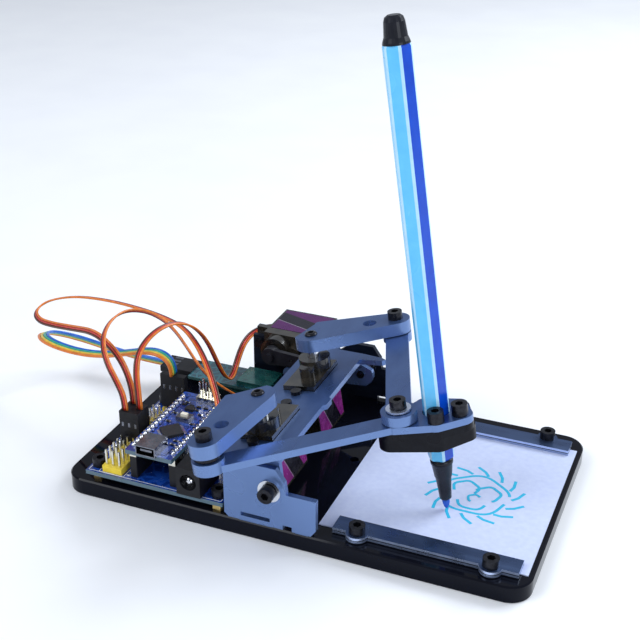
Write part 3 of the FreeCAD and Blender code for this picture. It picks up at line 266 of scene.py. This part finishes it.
LIB = {
    # base_black's side colour paints the base's upright faces darker than its top: painted shade.
    "base_black": surface("base_black", (0.005, 0.006, 0.011), (0.003, 0.003, 0.006), (0.03, 0.09), scale=60,
                          bump=(0.03, 0.00003), side=(0.002, 0.003, 0.008), shine=0.12),
    "card": surface("card", (0.60, 0.66, 0.86), (0.54, 0.60, 0.82), (0.75, 0.95), scale=500,
                    bump=(0.25, 0.00005)),
    "clamp_steel": make_clamp(),
    "block_black": surface("block_black", (0.006, 0.007, 0.011), (0.003, 0.003, 0.006), (0.22, 0.42),
                           scale=500, shine=0.16),
    "screw_steel": surface("screw_steel", (0.026, 0.027, 0.034), (0.008, 0.008, 0.012), (0.20, 0.40),
                           0.7, 900),
    "board_blue": make_board("board_blue", (0.003, 0.028, 0.20), (0.008, 0.060, 0.36), (0.06, 0.12, 0.16)),
    "board_green": make_board("board_green", (0.004, 0.045, 0.07), (0.012, 0.11, 0.14), (0.05, 0.12, 0.12)),
    "standoff": surface("standoff", (0.74, 0.56, 0.24), (0.55, 0.40, 0.15), (0.2, 0.4), 1.0, 600),
    "plug_black": surface("plug_black", (0.009, 0.009, 0.012), (0.004, 0.004, 0.006), (0.35, 0.6), scale=700,
                          shine=0.3),
    "header_yellow": surface("header_yellow", (0.90, 0.68, 0.04), (0.78, 0.56, 0.03), (0.3, 0.5), scale=500),
    "pin_metal": surface("pin_metal", (0.84, 0.82, 0.72), (0.66, 0.64, 0.54), (0.15, 0.3), 1.0, 900),
    "chip_black": surface("chip_black", (0.014, 0.014, 0.018), (0.007, 0.007, 0.009), (0.4, 0.6), scale=1200),
    "usb_metal": surface("usb_metal", (0.26, 0.27, 0.31), (0.14, 0.15, 0.18), (0.15, 0.32), 1.0, 500),
    "button_cream": surface("button_cream", (0.90, 0.85, 0.72), (0.80, 0.74, 0.60), (0.3, 0.5), scale=600),
    "radio_metal": surface("radio_metal", (0.03, 0.17, 0.15), (0.01, 0.09, 0.09), (0.12, 0.3), 0.3, 300,
                           coat=0.6),
    # plate_aluminium's side colour paints the plate's upright faces much paler than its top: a painted
    # highlight.
    "plate_aluminium": surface("plate_aluminium", (0.070, 0.130, 0.30), (0.055, 0.105, 0.26), (0.24, 0.34),
                               0.65, 260, (1, 0.3, 1), (0.05, 0.00003), side=(0.15, 0.24, 0.47)),
    "plate_dark": surface("plate_dark", (0.018, 0.024, 0.045), (0.008, 0.011, 0.022), (0.25, 0.4), 0.6, 300,
                          (0.3, 1, 1)),
    "bearing_steel": surface("bearing_steel", (0.78, 0.80, 0.84), (0.60, 0.62, 0.66), (0.08, 0.22), 1.0, 700),
    "servo_smoke": make_smoke(),
    "horn_smoke": surface("horn_smoke", (0.016, 0.016, 0.022), (0.008, 0.008, 0.012), (0.2, 0.4), scale=400),
    "motor_steel": surface("motor_steel", (0.45, 0.45, 0.48), (0.30, 0.30, 0.33), (0.2, 0.4), 1.0, 500),
    "pen_blue": surface("pen_blue", (0.002, 0.075, 0.60), (0.001, 0.055, 0.50), (0.16, 0.28), scale=200,
                        bump=(0.04, 0.00004)),
    "pen_face_painted_light": surface("pen_face_painted_light", (0.13, 0.56, 0.92), (0.10, 0.50, 0.88), (0.20, 0.30), scale=200,
                        bump=(0.04, 0.00004)),
    "pen_corner_painted_highlight": surface("pen_corner_painted_highlight", (0.50, 0.78, 0.97), (0.42, 0.72, 0.95), (0.20, 0.30), scale=200,
                        bump=(0.04, 0.00004)),
    "pen_dark": surface("pen_dark", (0.008, 0.009, 0.016), (0.004, 0.005, 0.009), (0.2, 0.36), scale=400,
                        shine=0.3),
    "nib_blue": surface("nib_blue", (0.02, 0.12, 0.62), (0.01, 0.08, 0.5), (0.5, 0.8), scale=900),
    "ink": surface("ink", (0.02, 0.52, 0.76), (0.01, 0.40, 0.66), (0.6, 0.85), scale=900),
    "solder": surface("solder", (0.88, 0.88, 0.90), (0.66, 0.66, 0.70), (0.08, 0.22), 1.0, 900),
    "silk": surface("silk", (0.86, 0.88, 0.92), (0.72, 0.75, 0.82), (0.5, 0.7), scale=900),
    "label_side": make_label("label_side", "Y", "Z", (0.42, 0.035, 0.33)),
    "label_top": make_label("label_top", "Y", "X", (0.11, 0.012, 0.13)),
    "centre_washer": make_washer_screw("centre_washer", CENTRE, 2.85),
}
WIRES = {
    "brown": (0.10, 0.030, 0.015), "red": (0.62, 0.030, 0.015), "orange": (0.85, 0.22, 0.02),
    "blue": (0.01, 0.16, 0.70), "green": (0.02, 0.42, 0.30), "yellow": (0.85, 0.62, 0.05),
}
for title, tone in WIRES.items():
    shade = tuple(0.7 * c for c in tone)
    LIB[title] = surface("wire_" + title, tone, shade, (0.28, 0.45), scale=500, coat=0.2)

# The leads' and ribbon's plain CAD tubes have no look of their own, because wires() replaces them.
for entry in frame["record"]["subparts"]:
    item = nodes[entry["node"]]
    item.data.materials.clear()
    item.data.materials.append(LIB.get(entry["material_slot"], LIB["plug_black"]))
nodes["centre_screw"].data.materials[0] = LIB["centre_washer"]


# ---------------------------------------------------------------- mesh helpers
def finish_piece(name, bm, body, material, smooth=False, place=None):
    """Turn a bmesh in millimetres into a piece that rides on a body."""
    bmesh.ops.recalc_face_normals(bm, faces=bm.faces)
    mesh = bpy.data.meshes.new(name)
    bm.to_mesh(mesh)
    bm.free()
    mesh.transform(Matrix.Scale(MM, 4))
    if place is not None:
        mesh.transform(place)
    for one in material if isinstance(material, list) else [material]:
        mesh.materials.append(LIB[one])
    for face in mesh.polygons:
        face.use_smooth = smooth
    piece = bpy.data.objects.new(name, mesh)
    scene.collection.objects.link(piece)
    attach(piece, body)
    return piece


def add_block(bm, low, high, bevel=0.0, index=0):
    """A block with softened edges between two corners, in millimetres."""
    made = bmesh.ops.create_cube(bm, size=1.0)["verts"]
    for vert in made:
        vert.co = Vector([low[k] + (vert.co[k] + 0.5) * (high[k] - low[k]) for k in range(3)])
    faces = {face for vert in made for face in vert.link_faces}
    for face in faces:
        face.material_index = index
    if bevel:
        edges = list({edge for face in faces for edge in face.edges})
        bmesh.ops.bevel(bm, geom=edges, offset=bevel, segments=2, affect="EDGES", profile=0.6)


def add_lathe(bm, centre, rings, sides=16, index=0):
    """A turned shape about Z from (height, radius) rings, in millimetres."""
    loops = []
    for high, radius in rings:
        loops.append([bm.verts.new((centre[0] + radius * math.cos(2 * math.pi * i / sides),
                                    centre[1] + radius * math.sin(2 * math.pi * i / sides), centre[2] + high))
                      for i in range(sides)])
    for lower, upper in zip(loops, loops[1:]):
        for i in range(sides):
            j = (i + 1) % sides
            bm.faces.new((lower[i], lower[j], upper[j], upper[i])).material_index = index
    for loop in (loops[0], loops[-1]):
        bm.faces.new(loop).material_index = index


def add_line(bm, points, width, high, thick=0.04, index=0):
    """A flat ink or print line along points, width wide, raised above a face."""
    rows = []
    for i, point in enumerate(points):
        ahead = Vector(points[min(i + 1, len(points) - 1)]) - Vector(points[max(i - 1, 0)])
        side = Vector((-ahead.y, ahead.x)).normalized() * width / 2
        rows.append([bm.verts.new((point[0] + s * side.x, point[1] + s * side.y, z))
                     for s, z in ((1, high), (-1, high), (-1, high + thick), (1, high + thick))])
    for a, b in zip(rows, rows[1:]):
        for i in range(4):
            j = (i + 1) % 4
            bm.faces.new((a[i], b[i], b[j], a[j])).material_index = index
    bm.faces.new(rows[0])
    bm.faces.new(rows[-1])


# ---------------------------------------------------------------- wiring
NEAR_LEAD = [(-65.6, -27.2, 28.4), (-65.6, -27.2, 33.0), (-68.2, -25.2, 38.2), (-73.4, -21.4, 42.0),
             (-81.4, -16.0, 43.8), (-93.0, -8.2, 43.0), (-108.0, -0.2, 37.8), (-121.0, 5.4, 34.2),
             (-130.2, 9.4, 32.4), (-135.8, 14.4, 32.8), (-135.0, 20.0, 34.8), (-128.6, 22.8, 37.0),
             (-118.4, 23.2, 39.2), (-104.0, 21.8, 40.6), (-88.6, 18.8, 41.4), (-75.4, 14.6, 42.0),
             (-64.6, 10.0, 41.8), (-55.6, 3.4, 39.6), (-47.0, -5.4, 37.0), (-39.2, -14.0, 31.9),
             (-33.6, -21.6, 26.4), (-29.6, -28.6, 22.0), (-26.6, -35.0, 18.8), (-21.8, -39.6, 15.8),
             (-15.6, -40.4, 13.6), (-11.4, -38.2, 12.7), (-10.8, -34.4, 12.6)]
FAR_LEAD = [(-66.0, -32.3, 28.4), (-66.0, -32.3, 33.4), (-69.4, -31.2, 38.8), (-74.6, -28.4, 43.6),
            (-79.6, -22.8, 47.6), (-82.4, -15.6, 50.0), (-83.2, -7.6, 51.0), (-81.6, -0.4, 50.6),
            (-76.4, 4.4, 48.8), (-69.4, 4.4, 46.4), (-62.6, 0.8, 44.4), (-56.0, -3.2, 41.0),
            (-50.8, -4.8, 35.6), (-46.6, -3.0, 29.6), (-42.6, 1.6, 23.6), (-39.0, 7.6, 17.6),
            (-35.0, 13.6, 12.6), (-30.6, 19.4, 9.6), (-26.0, 25.0, 8.8), (-21.6, 30.2, 9.6),
            (-16.6, 32.8, 11.0), (-12.2, 30.6, 12.2), (-11.4, 25.8, 12.6)]
LIFT_LEAD = [(-61.6, -29.8, 28.4), (-61.6, -29.8, 34.0), (-63.2, -28.0, 40.4), (-65.0, -23.4, 46.0),
             (-64.4, -17.0, 49.8), (-62.4, -10.4, 51.6), (-60.4, -4.0, 51.0), (-58.2, 2.2, 48.0),
             (-56.4, 7.6, 42.6), (-55.0, 11.8, 35.4), (-54.0, 15.0, 27.6), (-53.2, 18.2, 20.6),
             (-53.2, 22.6, 15.4), (-54.2, 28.2, 13.4), (-55.6, 34.4, 14.4), (-57.0, 41.0, 16.8),
             (-57.8, 47.8, 19.2), (-56.8, 54.4, 20.8), (-53.0, 60.0, 21.5), (-47.6, 61.9, 21.5)]
RIBBON = [(-62.8, -2.8, 28.4), (-62.8, -2.8, 32.8), (-66.6, -3.1, 36.4), (-72.8, -3.0, 36.6),
          (-82.0, -2.2, 33.4), (-93.6, -1.0, 29.4), (-106.4, 0.6, 27.2), (-119.4, 3.6, 26.4),
          (-129.4, 9.4, 25.0), (-134.4, 17.4, 22.6), (-133.0, 25.8, 18.6), (-126.2, 31.8, 14.4),
          (-116.4, 34.2, 11.4), (-105.4, 34.5, 10.0), (-96.4, 34.5, 9.55), (-87.7, 34.5, 9.55)]


def centreline(route):
    """Points down the smooth spline whose control points are the route."""
    curve = bpy.data.curves.new("route", "CURVE")
    curve.dimensions = "3D"
    curve.resolution_u = 8
    spline = curve.splines.new("NURBS")
    spline.points.add(len(route) - 1)
    for point, spot in zip(spline.points, route):
        point.co = (spot[0] * MM, spot[1] * MM, spot[2] * MM, 1)
    spline.order_u = 3
    spline.use_endpoint_u = True
    holder = bpy.data.objects.new("route", curve)
    mesh = bpy.data.meshes.new_from_object(holder)
    line = [vert.co.copy() for vert in mesh.vertices]
    bpy.data.meshes.remove(mesh)
    bpy.data.objects.remove(holder)
    bpy.data.curves.remove(curve)
    return line


def wires(name, node, route, side, colors, radius):
    """Parallel insulated wires bonded edge to edge along one route, as one flat cord."""
    line = centreline(route)
    bm = bmesh.new()
    sides = 10
    frames = []
    across = Vector(side)
    for i, point in enumerate(line):
        ahead = (line[min(i + 1, len(line) - 1)] - line[max(i - 1, 0)]).normalized()
        across = (across - ahead * across.dot(ahead)).normalized()
        frames.append((point, across.copy(), ahead.cross(across)))
    for k in range(len(colors)):
        offset = (k - (len(colors) - 1) / 2) * 2 * radius
        loops = []
        for point, u, v in frames:
            spot = point + u * offset * MM
            loops.append([bm.verts.new(spot + (u * math.cos(a) + v * math.sin(a)) * radius * MM)
                          for a in (2 * math.pi * i / sides for i in range(sides))])
        for a, b in zip(loops, loops[1:]):
            for i in range(sides):
                j = (i + 1) % sides
                bm.faces.new((a[i], a[j], b[j], b[i])).material_index = k
        for loop in (loops[0], loops[-1]):
            bm.faces.new(loop).material_index = k
    bmesh.ops.recalc_face_normals(bm, faces=bm.faces)
    mesh = bpy.data.meshes.new(name)
    bm.to_mesh(mesh)
    bm.free()
    for color in colors:
        mesh.materials.append(LIB[color])
    mesh.polygons.foreach_set("use_smooth", [True] * len(mesh.polygons))
    piece = bpy.data.objects.new(name, mesh)
    scene.collection.objects.link(piece)
    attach(piece, "base")
    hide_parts(node)


LEAD_COLORS = ["brown", "red", "orange"]
LEAD_WIRE_RADIUS = 0.433
for which, route in (("near", NEAR_LEAD), ("far", FAR_LEAD), ("lift", LIFT_LEAD)):
    wires(which + "_lead_wires", "servo_lead_" + which, route, (1, 0, 0), LEAD_COLORS, LEAD_WIRE_RADIUS)
wires("ribbon_wires", "ribbon_cable", RIBBON, (0, 1, 0), ["orange", "yellow", "green", "blue"], 0.6)


# ---------------------------------------------------------------- boards
def grid(start, step, count):
    return [start + i * step for i in range(count)]


def make_solder():
    """Solder joints with pin ends on the two boards."""
    bm = bmesh.new()
    for x in (-55.7, -40.46):
        for y in grid(-44.4, PITCH, 15):
            add_lathe(bm, (x, y, CONTROLLER_TOP), [(0, 0.95), (0.12, 0.92), (0.45, 0.55), (0.8, 0.36)], 12)
    for x in (-72.2, -37.0, -34.4, -31.8, -29.2, -26.6):
        for y in grid(-30.0, PITCH, 13):
            add_lathe(bm, (x, y, CARRIER_TOP), [(0, 0.8), (0.1, 0.78), (0.38, 0.5), (0.5, 0.2)], 10)
    finish_piece("solder_joints", bm, "base", "solder", True)


def make_print():
    """White outlines and ticks printed on the boards."""
    bm = bmesh.new()
    low = CARRIER_TOP + PRINT_LIFT
    upper = CONTROLLER_TOP + PRINT_LIFT
    boxes = [(-73.2, -47.2, -21.4, 8.2, low), (-69.2, -47.0, -59.4, -9.2, low),
             (-38.6, -31.5, -25.6, 4.4, low), (-36.2, -29.0, -23.4, 2.6, low),
             (-51.6, -37.9, -43.6, -26.8, upper), (-53.9, -46.6, -42.2, -7.2, upper)]
    for left, front, right, rear, high in boxes:
        ring = [(left, front), (right, front), (right, rear), (left, rear), (left, front)]
        for a, b in zip(ring, ring[1:]):
            add_line(bm, [a, b], 0.22, high)
    for x in (CONTROLLER_LEFT + 3.35, CONTROLLER_LEFT + 15.4):
        for y in grid(-44.4, PITCH, 15):
            add_line(bm, [(x - 0.55, y), (x + 0.55, y)], 0.5, upper)
    for y in grid(-45.4, PITCH, 14):
        add_line(bm, [(-59.0, y), (-57.8, y)], 0.5, low)
    for y in grid(-29.0, 3.1, 10):
        add_line(bm, [(-39.6, y), (-38.0, y)], 0.9, low)
    finish_piece("board_print", bm, "base", "silk")


def make_small_parts():
    """Resistors, capacitors and chip legs."""
    bm = bmesh.new()
    high = CONTROLLER_TOP
    spots = [(-52.8, -40.2), (-52.8, -37.6), (-43.2, -39.6), (-43.2, -37.2), (-52.2, -26.4), (-43.4, -25.2),
             (-52.6, -20.4), (-43.6, -18.4), (-52.0, -12.2), (-46.0, -16.0)]
    for x, y in spots:
        add_block(bm, (x - 0.8, y - 0.45, high + 0.01), (x + 0.8, y + 0.45, high + 0.51), 0.08)
        for end in (-0.8, 0.8):
            add_block(bm, (x + end - 0.25, y - 0.47, high), (x + end + 0.25, y + 0.47, high + 0.54), 0.05, 1)
    turn = Matrix.Rotation(math.radians(45), 3, "Z")
    chip_middle = Vector((-47.6, -32.3, high + 0.03))
    for side in range(4):
        spin = Matrix.Rotation(math.radians(90 * side), 3, "Z")
        for i in range(8):
            leg = chip_middle + turn @ spin @ Vector((4.0, (i - 3.5) * 0.8, 0))
            long = turn @ spin @ Vector((0.62, 0, 0))
            wide = turn @ spin @ Vector((0, 0.18, 0))
            ring = [bm.verts.new(leg + s * long + q * wide) for s, q in ((-1, -1), (1, -1), (1, 1), (-1, 1))]
            top = [bm.verts.new(vert.co + Vector((0, 0, 0.22))) for vert in ring]
            bm.faces.new(ring).material_index = 1
            bm.faces.new(top).material_index = 1
            for k in range(4):
                after = (k + 1) % 4
                bm.faces.new((ring[k], ring[after], top[after], top[k])).material_index = 1
    low = CARRIER_TOP + 0.01
    for x, y, long, wide, tall in ((-34.0, -10.0, 5.0, 3.6, 1.6), (-28.0, -22.0, 3.4, 3.4, 2.2),
                                   (-33.5, -2.0, 3.0, 1.6, 0.8), (-27.0, -8.0, 2.0, 1.3, 0.7)):
        add_block(bm, (x, y, low), (x + long, y + wide, low + tall), 0.2)
    finish_piece("board_parts", bm, "base", ["chip_black", "solder"])


def make_plug_details():
    """Crimp windows in the sides of the servo plugs and both ribbon plugs."""
    bm = bmesh.new()
    half, foot, head = 0.45, 22.2, 24.0
    for y in grid(-32.3, PITCH, 3):
        for x in grid(-66.6, PITCH, 3):
            add_block(bm, (x - half, y - PITCH / 2, foot), (x + half, y + PITCH / 2, head), 0.1)
    for x, y in zip(grid(-66.3, PITCH, 4), grid(30.7, PITCH, 4)):
        add_block(bm, (x - half, -4.03, foot), (x + half, -1.45, head), 0.1)
        add_block(bm, (-85.0, y - 0.7, 8.25), (-81.4, y + 0.7, 10.84), 0.1)
    finish_piece("plug_windows", bm, "base", "usb_metal")


make_solder()
make_print()
make_small_parts()
make_plug_details()


# ---------------------------------------------------------------- labels, screws, pen and doodle
def make_labels():
    """Foil labels on both long faces of the arm servos and on top of the lift servo."""
    for which, front in (("near", -33.2), ("far", 3.1)):
        for title, left in (("_servo_label", -3.4), ("_servo_back_label", -15.72)):
            bm = bmesh.new()
            add_block(bm, (left, front, -9.6), (left + 0.12, front + 21.4, 5.4), 0.03)
            finish_piece(which + title, bm, "carriage", "label_side", place=CARRIAGE)
    bm = bmesh.new()
    add_block(bm, (-46.2, 48.6, 27.6), (-25.0, 65.6, 27.72), 0.03)
    finish_piece("lift_servo_label", bm, "base", "label_top")


def make_doodle():
    """A sun drawn in felt-tip ink: an open ring, four curls inside it and swept rays."""
    bm = bmesh.new()
    cx, cy = 55.2, -3.8
    high = CARD_TOP
    stroke = 1.05
    rays = 14

    def arc(x, y, radius, start, end, wobble=0.0, steps=26):
        return [(x + (radius + wobble * math.sin(5 * t)) * math.cos(t),
                 y + (radius + wobble * math.sin(5 * t)) * math.sin(t))
                for t in (math.radians(start + (end - start) * i / steps) for i in range(steps + 1))]
    add_line(bm, arc(cx, cy, 11.4, 15, 350, 0.5, 60), stroke, high)
    add_line(bm, arc(cx - 4.0, cy + 2.6, 4.4, -30, 215, 0.25), stroke, high + 0.02)
    add_line(bm, arc(cx + 4.2, cy + 1.8, 4.2, -60, 170, 0.25), stroke, high + 0.04)
    add_line(bm, arc(cx, cy - 3.8, 5.2, 195, 345, 0.2), stroke, high)
    add_line(bm, arc(cx + 0.4, cy - 2.4, 2.2, 40, 250, 0.1), 0.9, high + 0.06)
    for i in range(rays):
        angle = 2 * math.pi * i / rays + 0.1
        ray = [(cx + reach * math.cos(angle + sweep), cy + reach * math.sin(angle + sweep))
               for reach, sweep in ((12.6, 0), (14.8, 0.13), (17.4, 0.32))]
        add_line(bm, ray, 1.1, high)
    finish_piece("ink_drawing", bm, "base", "ink")


def make_pen():
    """Hexagonal felt-tip pen with softened edges, end plug, nose and nib; the flats turned front and
    front-left are painted paler as painted light, and each softened corner carries a painted highlight.
    """
    bm = bmesh.new()
    axis = (*PEN_AXIS, 0)
    corner = PEN_FLATS / math.sqrt(3) * 0.985
    soften = 0.11

    def hexring(high, scale):
        turns = [math.radians(60 * k) + turn for k in range(6) for turn in (-soften, soften)]
        return [bm.verts.new((PEN_AXIS[0] + corner * scale * math.cos(a),
                              PEN_AXIS[1] + corner * scale * math.sin(a), high)) for a in turns]
    rings = [hexring(h, s) for h, s in ((-1.0, 0.86), (-0.2, 1.0), (135.6, 1.0), (136.5, 0.92))]
    for a, b in zip(rings, rings[1:]):
        for i in range(12):
            j = (i + 1) % 12
            bm.faces.new((a[i], a[j], b[j], b[i]))
    for ring in (rings[0], rings[-1]):
        bm.faces.new(ring)
    # Painted light on the pen: corner faces take a painted highlight, and the flats facing between 180 and
    # 300 degrees a paler painted light.
    for face in bm.faces:
        middle = face.calc_center_median()
        angle = math.degrees(math.atan2(middle.y - PEN_AXIS[1], middle.x - PEN_AXIS[0])) % 360
        edge = min(angle % 60, 60 - angle % 60) < 8
        face.material_index = 3 if edge else 2 if 180 < angle < 300 else 0
    plug = [(136.4, 4.25), (137.1, 4.1), (138.4, 3.6), (142.8, 3.2), (144.0, 2.8), (144.65, 1.9)]
    add_lathe(bm, axis, plug, 24, 1)
    finish_piece("felt_pen", bm, "near_forearm", ["pen_blue", "pen_dark", "pen_face_painted_light", "pen_corner_painted_highlight"],
                 place=CARRIAGE)
    bm = bmesh.new()
    nose = [(-17.0, 1.8), (-16.7, 2.05), (-13.0, 2.3), (-8.4, 2.75), (-8.0, 3.0), (-3.4, 3.55), (-2.9, 3.85),
            (-1.0, 3.9)]
    add_lathe(bm, axis, nose, 28)
    add_lathe(bm, axis, [(-20.9, 0.35), (-20.4, 0.75), (-19.0, 1.2), (-16.9, 1.4)], 18, 1)
    finish_piece("pen_nose", bm, "near_forearm", ["pen_dark", "nib_blue"], True, CARRIAGE)
    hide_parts("pen_barrel")
    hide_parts("pen_tip")


def make_arm_screws():
    """Button heads that stand proud of the arms over the servo shafts."""
    head = [(-0.7, 2.3), (0.35, 2.3), (0.75, 2.0), (0.95, 1.5), (0.95, 1.05), (0.2, 0.9)]
    for which, y, top in (("near", -27.7, 24.9), ("far", 19.0, 25.3)):
        bm = bmesh.new()
        add_lathe(bm, (SERVO_LINE, y, top), head, 20)
        finish_piece(which + "_arm_screw", bm, which + "_arm", "screw_steel", place=CARRIAGE)


def make_jack_contact():
    """The bright spring contact and pin inside the power jack."""
    bm = bmesh.new()
    add_lathe(bm, (0, 0, 0), [(0.6, 3.05), (0.9, 2.7), (7.6, 2.6), (7.6, 1.1), (0.9, 1.05), (0.4, 0.6)], 24)
    mouth = Matrix.Translation(Vector((-33.0, -48.6, 16.25)) * MM)
    place = mouth @ Matrix.Rotation(math.radians(-90), 4, "X")
    finish_piece("jack_contact", bm, "base", "solder", True, place)


make_labels()
make_doodle()
make_pen()
make_arm_screws()
make_jack_contact()


# ---------------------------------------------------------------- camera, floor and light
def make_camera():
    """The photograph's viewpoint: turned, tipped down and rolled by the three angles."""
    azimuth, elevation, roll = (math.radians(a) for a in (22.14, 26.23, 0.28))
    back = Vector((math.sin(azimuth) * math.cos(elevation), -math.cos(azimuth) * math.cos(elevation),
                   math.sin(elevation)))
    right = Vector((math.cos(azimuth), math.sin(azimuth), 0))
    up = back.cross(right)
    right, up = math.cos(roll) * right + math.sin(roll) * up, math.cos(roll) * up - math.sin(roll) * right
    data = bpy.data.cameras.new("camera")
    data.lens = 65.58
    data.sensor_width = 36
    data.clip_start = 0.01
    camera = bpy.data.objects.new("camera", data)
    camera.matrix_world = Matrix.Translation((0.1319, -0.3361, 0.2396)) @ Matrix(
        (right, up, back)).transposed().to_4x4()
    scene.collection.objects.link(camera)
    scene.camera = camera


def make_floor():
    """A wide pale floor just under the base."""
    mesh = bpy.data.meshes.new("floor")
    reach = 3.0
    mesh.from_pydata([(-reach, -reach, -0.0003), (reach, -reach, -0.0003), (reach, reach, -0.0003),
                      (-reach, reach, -0.0003)], [], [(0, 1, 2, 3)])
    mesh.materials.append(surface("floor", (0.95, 0.95, 0.96), (0.92, 0.92, 0.94), (0.6, 0.8), scale=20))
    floor = bpy.data.objects.new("floor", mesh)
    scene.collection.objects.link(floor)


def lamp(name, place, target, size, power, color):
    """A soft rectangular light at place, aimed at target."""
    data = bpy.data.lights.new(name, "AREA")
    data.shape = "RECTANGLE"
    data.size, data.size_y = size
    data.energy = power
    data.color = color
    item = bpy.data.objects.new(name, data)
    item.location = place
    item.rotation_euler = (Vector(target) - Vector(place)).to_track_quat("-Z", "Y").to_euler()
    scene.collection.objects.link(item)


make_camera()
make_floor()
lamp("window", (0.55, 0.65, 0.75), (0, 0, 0.02), (0.7, 0.5), 9, (0.88, 0.94, 1.0))
lamp("key", (-0.5, -0.55, 0.8), (0, 0, 0.03), (0.5, 0.5), 4.5, (0.92, 0.96, 1.0))
lamp("fill", (0.7, -0.5, 0.35), (0.02, 0, 0.03), (0.5, 0.4), 2, (0.88, 0.93, 1.0))
world = bpy.data.worlds.new("world")
world.use_nodes = True
world.node_tree.nodes["Background"].inputs["Color"].default_value = (0.84, 0.90, 1.0, 1)
world.node_tree.nodes["Background"].inputs["Strength"].default_value = 0.55
scene.world = world
scene.view_settings.view_transform = "Standard"
